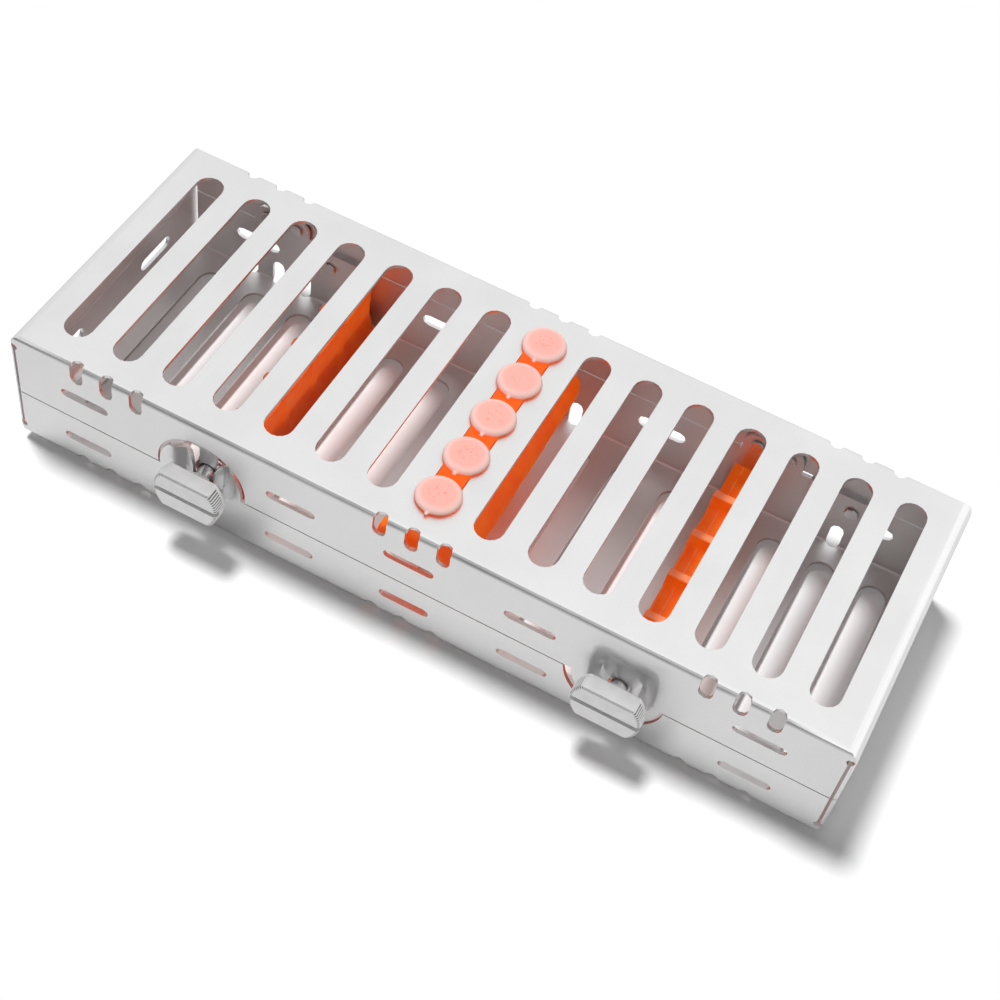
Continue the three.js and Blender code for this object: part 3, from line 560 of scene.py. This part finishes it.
def moulded(solid, name, node, body, finish):
    """One smooth skin over a solid's lofts, riding on a body in the place of a node."""
    obj = solid.piece(name)
    skin = obj.modifiers.new("one_skin", "REMESH")
    skin.mode = "VOXEL"
    skin.voxel_size = SKIN_VOXEL
    skin.use_smooth_shade = True
    smooth = obj.modifiers.new("soft_edges", "SMOOTH")
    smooth.factor = SKIN_SMOOTHING_SHARE
    smooth.iterations = SKIN_SMOOTHING
    give(obj, finish)
    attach(obj, body)
    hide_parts(node)


# Heads and neck, alike on the lid's strip and under the rails
def head_places():
    """The heads' middles, front to back."""
    return [middle_y + (i - (HEADS - 1) / 2) * HEAD_PITCH for i in range(HEADS)]


def head_profile():
    """Radius and height of a head, from its flat side up over its round lower edge to the crown."""
    profile = [(HEAD_FOOT_SHARE * HEAD_RADIUS, 0)]
    for angle in quarter_turn(FILLET_STEPS):
        profile.append((HEAD_RADIUS - HEAD_EDGE * (1 - math.sin(angle)), HEAD_EDGE * (1 - math.cos(angle))))
    for angle in quarter_turn(HEAD_RINGS)[1:-1]:
        rise = (HEAD_HEIGHT - HEAD_EDGE) * math.sin(angle)
        profile.append((HEAD_RADIUS * math.cos(angle) ** HEAD_CROWN, HEAD_EDGE + rise))
    return profile


def head(solid, x, y, foot, side):
    """A round head on its foot's height, with the nib that its moulding leaves in front."""
    turn = [2 * math.pi * i / HEAD_SIDES for i in range(HEAD_SIDES)]
    rings = []
    for radius, height in head_profile():
        z = foot + side * height
        rings.append([(x + radius * math.cos(a), y + radius * math.sin(a), z) for a in turn])
    solid.loft(rings)
    high = foot + side * NIB_HEIGHT
    corners = ((-NIB_HALF, foot), (NIB_HALF, foot), (NIB_HALF, high), (-NIB_HALF, high))
    ends = (y - HEAD_RADIUS - NIB_REACH, y - HEAD_RADIUS / 2)
    solid.loft([[(x + dx, place, z) for dx, z in corners] for place in ends])


def bar_ring(x, y, half, low, high):
    """Section of a bar along Y."""
    return [(x - half, y, low), (x + half, y, low), (x + half, y, high), (x - half, y, high)]


def neck(solid, x, inner, outer):
    """The bar with round ends that fills the sheet's slot."""
    turn = quarter_turn(FILLET_STEPS)
    rings = []
    for angle in [-a for a in reversed(turn[1:])] + turn:
        half = NECK_HALF * math.cos(angle * NECK_END_SHARE)
        y = middle_y + math.copysign(NECK_REACH - NECK_HALF, angle) + NECK_HALF * math.sin(angle)
        rings.append(bar_ring(x, y, half, inner, outer))
    solid.loft(rings)


def flares(solid, x, foot, outer):
    """The neck's outer part between the heads, which widens in a curve towards each."""
    chord = math.sqrt(HEAD_RADIUS**2 - (NECK_HALF + FLARE) ** 2)
    places = head_places()
    for near, far in zip(places, places[1:]):
        rings = []
        for i in range(FLARE_STEPS + 1):
            y = near + (far - near) * i / FLARE_STEPS
            from_head = min(y - near, far - y) - chord
            share = min(1, max(0, from_head / FLARE_RUN))
            rings.append(bar_ring(x, y, NECK_HALF + FLARE * (1 - share) ** 2, foot, outer))
        solid.loft(rings)


def heads_and_neck(solid, x, sheet_z, side):
    """Heads outside a sheet and the neck that joins them through its slot; side is +1 upwards."""
    foot = sheet_z + side * FLARE_FOOT
    outer = sheet_z + side * NECK_TOP
    for y in head_places():
        head(solid, x, y, foot, side)
    neck(solid, x, sheet_z - side * (SHEET + SEAT + FLANGE_HEIGHT / 2), outer)
    flares(solid, x, foot, outer)


def wing_ring(y, front, back):
    """The strip's section under the lid at one place along it: flange, stem and two sloped wings."""
    top = lid_top - SHEET - SEAT
    root = lid_top - WING_ROOT
    forward = (back - y) / (back - front)
    past = max(0, front + WING_CORNER - y, y + WING_CORNER - back)
    wing = WING_HALF - WING_CORNER + math.sqrt(max(0, WING_CORNER**2 - past**2))
    fall = (wing - HOLD_STEM_HALF) / (WING_HALF - HOLD_STEM_HALF)
    under = root - WING_SHEET / 2
    tip_low = under + (strip_low[2] - WING_DROOP * forward - under) * fall
    wing += WING_SPREAD * forward
    flange = min(FLANGE_HALF, wing)
    half_ring = [
        (flange, top),
        (flange, top - FLANGE_HEIGHT),
        (HOLD_STEM_HALF, top - 2 * FLANGE_HEIGHT),
        (HOLD_STEM_HALF, root + WING_SHEET / 2),
        (wing, tip_low + WING_SHEET),
        (wing, tip_low),
    ]
    mirrored = [(-x, z) for x, z in reversed(half_ring)]
    return [(x, middle_y + y, z) for x, z in half_ring + [(0, under)] + mirrored]


def hold_down(finish):
    """The strip in the lid's middle slot, with its wings under the lid."""
    solid = Solid()
    heads_and_neck(solid, 0, lid_top, 1)
    back = (strip_high[1] - strip_low[1]) / 2
    front = -back - WING_LIP
    places = [front + (back - front) * i / WING_STEPS for i in range(WING_STEPS + 1)]
    solid.loft([wing_ring(y, front, back) for y in places])
    moulded(solid, "hold_down_strip", "lid_hold_down", "lid", finish)


def rail_profile(front, back, relief, rib_top):
    """Front to back along a rail: place, height of the top and half width there."""
    saddle = rib_top - SADDLE_DROP
    notch = saddle - SADDLE_ROUND
    profile = [(front, notch, SADDLE_WIDE), (relief, notch, SADDLE_WIDE)]
    places = head_places()
    ribs = [(near + far) / 2 for near, far in zip(places, places[1:])]
    starts = [relief] + [y + RIB_HALF_THICK for y in ribs]
    ends = [y - RIB_HALF_THICK for y in ribs] + [back]
    for start, end in zip(starts, ends):
        fillet = min(SADDLE_ROUND, (end - start) / 2)
        round_height = 0 if start == relief else SADDLE_ROUND
        if start != relief:
            profile.append((start, rib_top, RIB_WIDE))
        for angle in quarter_turn(FILLET_STEPS):
            y = start + fillet * (1 - math.cos(angle))
            profile.append((y, saddle + round_height * (1 - math.sin(angle)), SADDLE_WIDE))
        if end == back:
            profile.append((back, saddle, SADDLE_WIDE))
            continue
        for angle in quarter_turn(FILLET_STEPS):
            y = end - fillet * (1 - math.sin(angle))
            profile.append((y, saddle + SADDLE_ROUND * (1 - math.cos(angle)), SADDLE_WIDE))
        profile.append((end, rib_top, RIB_WIDE))
    return profile


def rail(side_name, finish):
    """A rail in the base: ribs and saddles over a skirt, with feet under the floor."""
    node = f"base_rail_{side_name}"
    low_box, high_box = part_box(node)
    x = (low_box[0] + high_box[0]) / 2
    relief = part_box(f"latch_stem_{side_name}")[1][1] + 2 * SEAT
    rib_top = high_box[2]
    floor_z = base_bottom + SHEET + SEAT
    solid = Solid()
    heads_and_neck(solid, x, base_bottom, -1)
    rings = []
    for y, top, half in rail_profile(low_box[1], high_box[1], relief, rib_top):
        wide = half + RIB_TAPER
        half_ring = [
            (half, top),
            (wide, min(top - RIB_TAPER, rib_top - SADDLE_DROP)),
            (wide, rib_top - CREASE_DROP),
            (SKIRT_HALF, floor_z + FLANGE_HEIGHT),
            (SKIRT_HALF, floor_z),
        ]
        mirrored = [(-dx, z) for dx, z in reversed(half_ring)]
        rings.append([(x + dx, y, z) for dx, z in half_ring + mirrored])
    solid.loft(rings)
    moulded(solid, f"instrument_rail_{side_name}", node, "base", finish)


def knob_ring(centre, y, round_radius, half_flats, tooth):
    """A knob's outline at one depth: round with knurls, cut by two flats."""
    count = KNURLS * KNURL_STEPS
    ring = []
    for i in range(count):
        angle = (i + 0.5) / count * 2 * math.pi
        radius = round_radius - tooth * (1 - math.cos(angle * KNURLS)) / 2
        radius = min(radius, half_flats / max(abs(math.sin(angle)), half_flats / round_radius))
        ring.append((centre[0] + radius * math.cos(angle), y, centre[1] + radius * math.sin(angle)))
    return ring


def slot_cutter(centre, front, radius):
    """The bar that cuts a knob's screwdriver slot, past its face and both sides."""
    y_low, y_high = front - KNOB_SLOT, front + KNOB_SLOT_DEPTH
    z_low, z_high = centre[1] - KNOB_SLOT / 2, centre[1] + KNOB_SLOT / 2
    section = ((y_low, z_low), (y_high, z_low), (y_high, z_high), (y_low, z_high))
    cutter = Solid()
    cutter.loft([[(centre[0] + dx, y, z) for y, z in section] for dx in (-2 * radius, 2 * radius)])
    return cutter.piece("slot_cutter")


def cut(obj, cutter):
    """Takes a closed solid out of a piece, in its mesh, and deletes the solid."""
    boolean = obj.modifiers.new("cut", "BOOLEAN")
    boolean.operation = "DIFFERENCE"
    boolean.solver = "EXACT"
    boolean.object = cutter
    graph = bpy.context.evaluated_depsgraph_get()
    made = bpy.data.meshes.new_from_object(obj.evaluated_get(graph))
    obj.modifiers.clear()
    obj.data = made
    bpy.data.objects.remove(cutter)


def knob(side_name, finish):
    """A turned knob with two flats, fine knurls, a smooth collar, a hub and a screwdriver slot."""
    node = f"latch_knob_{side_name}"
    low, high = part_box(node)
    centre = ((low[0] + high[0]) / 2, (low[2] + high[2]) / 2)
    radius = (high[0] - low[0]) / 2
    half = (high[2] - low[2]) / 2
    front = low[1]
    hub_back = high[1]
    back = hub_back - HUB_LENGTH
    collar = radius - KNURL_DEPTH
    # Place, radius, half width over the flats and depth of the knurls, from the face to the hub's end
    rings = [
        (front, radius - KNOB_CHAMFER - KNURL_DEPTH, half - KNOB_CHAMFER, 0),
        (front + KNOB_CHAMFER, radius, half, KNURL_DEPTH),
        (back - KNOB_COLLAR, radius, half, KNURL_DEPTH),
        (back - KNOB_COLLAR, collar, half, 0),
        (back - KNOB_CHAMFER, collar, half, 0),
        (back, collar - KNOB_CHAMFER, half - KNOB_CHAMFER, 0),
        (back, HUB_RADIUS, HUB_RADIUS, 0),
        (hub_back, HUB_RADIUS, HUB_RADIUS, 0),
    ]
    solid = Solid()
    solid.loft([knob_ring(centre, *ring) for ring in rings])
    obj = solid.piece(f"clamp_knob_{side_name}")
    cut(obj, slot_cutter(centre, front, radius))
    give(obj, finish)
    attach(obj, f"{side_name}_knob")
    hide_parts(node)
    soften(obj, CUT_ANGLE, KNOB_EDGE, KNOB_EDGE_SEGMENTS)


# Floor, sky and lamps
FLOOR_SIZE = 40.0
FLOOR_SHADE = 0.97
FLOOR_GLOW = 0.11  # lifts the lit floor to white, for the camera only
FLOOR_MIRRORED_SHADE = 0.86  # as metal shows it


def floor():
    """White ground that keeps the object's shadow."""
    half = FLOOR_SIZE / 2
    corners = [(-half, -half, 0), (half, -half, 0), (half, half, 0), (-half, half, 0)]
    obj = mesh_piece("floor", corners, [(0, 1, 2, 3)])
    made, g = material("white_floor")
    ray = g.add("ShaderNodeLightPath").outputs
    lit, mirrored = (
        g.add("ShaderNodeBsdfDiffuse", {"Color": grey(shade)}).outputs[0]
        for shade in (FLOOR_SHADE, FLOOR_MIRRORED_SHADE)
    )
    glow = g.add("ShaderNodeEmission", {"Color": grey(1), "Strength": FLOOR_GLOW}).outputs[0]
    bright = g.add("ShaderNodeAddShader", {0: lit, 1: glow}).outputs[0]
    unseen = g.add("ShaderNodeMixShader", {0: ray["Is Glossy Ray"], 1: lit, 2: mirrored}).outputs[0]
    g.output(g.add("ShaderNodeMixShader", {0: ray["Is Camera Ray"], 1: unseen, 2: bright}).outputs[0])
    give(obj, made)
    return obj


# The sky's strength for gloss: two values of a direction's part, then the strengths below and above them
TENT_LEFT = (-0.55, -0.15, 0.91, 0.95)
TENT_RIGHT = (0.20, 0.50, 0.0, 0.32)
TENT_ZENITH = (0.80, 0.97, 0.0, 0.25)
# The dark card in front, in the same form
CARD_FRONT = (-0.28, 0.02, 1.0, 0.0)
CARD_LOW = (0.74, 0.92, 1.0, 0.0)
CARD_MIDDLE = -0.2
CARD_SIDES = (0.40, 0.65, 0.96, 0.0)
MATTE_SKY = 0.08
SEEN_SKY = 1.0


def sky():
    """An even dome for matte surfaces, and for gloss a tent with a dark card in front."""
    world = bpy.data.worlds.new("studio")
    bpy.context.scene.world = world
    world.use_nodes = True
    g = Graph(world.node_tree)
    ray = g.add("ShaderNodeLightPath").outputs
    x, y, z = g.axes(g.coordinate("Generated"))
    walls = g.math("ADD", g.ramp(x, *TENT_LEFT), g.ramp(x, *TENT_RIGHT))
    tent = g.math("ADD", walls, g.ramp(z, *TENT_ZENITH))
    aside = g.ramp(g.away(x, CARD_MIDDLE), *CARD_SIDES)
    card = g.product(g.ramp(y, *CARD_FRONT), g.ramp(z, *CARD_LOW), aside)
    gloss = g.product(tent, g.math("SUBTRACT", 1.0, card))
    unseen = g.blend(ray["Is Glossy Ray"], MATTE_SKY, gloss)
    strength = g.blend(ray["Is Camera Ray"], unseen, SEEN_SKY)
    background = g.add("ShaderNodeBackground", {"Color": grey(1), "Strength": strength}).outputs[0]
    g.output(background, "ShaderNodeOutputWorld")


# Suns by their direction, angle and strength. They light matte surfaces, and metal takes its gloss from
# the sky and the floor. The fill reaches in through the slots and leaves the floor to the key.
LAMPS = {
    "key": ((-0.26, 0.11, 0.959), math.radians(12), 0.88 * math.pi),
    "fill": ((0.50, -0.35, 0.79), math.radians(28), 0.20 * math.pi),
}


def lamps(ground):
    """The two suns, of which the fill leaves the ground out."""
    beside_floor = bpy.data.collections.new("lit_by_fill")
    beside_floor.objects.link(ground)
    beside_floor.collection_objects[0].light_linking.link_state = "EXCLUDE"
    for name, (way, angle, strength) in LAMPS.items():
        data = bpy.data.lights.new(name, "SUN")
        data.angle = angle
        data.energy = strength
        obj = placed(name, data)
        obj.rotation_euler = (-Vector(way)).to_track_quat("-Z", "Y").to_euler()
        obj.visible_glossy = False
        if name == "fill":
            obj.light_linking.receiver_collection = beside_floor


def steel_pieces(finishes):
    """Dresses the frame's own metal solids by their slots."""
    slots = {part["node"]: part["material_slot"] for part in frame["record"]["subparts"]}
    for name, obj in nodes.items():
        slot = slots[name]
        if slot in finishes:
            give(obj, finishes[slot])
            soften(obj, BENT_ANGLE if slot == "sheet_steel" else CUT_ANGLE)


def main():
    bpy.context.scene.view_settings.view_transform = "Standard"
    camera()
    ground = floor()
    sky()
    lamps(ground)
    finishes = {
        "sheet_steel": satin_steel(),
        "knob_steel": turned_steel("turned_steel", **KNOB_LOOK),
        "fastener_steel": turned_steel("fastener_steel", **FASTENER_LOOK),
    }
    steel_pieces(finishes)
    hold_down(head_silicone())
    rails = rail_silicone()
    for side_name in ("left", "right"):
        rail(side_name, rails)
    for side_name in ("left", "right"):
        knob(side_name, finishes["knob_steel"])


main()
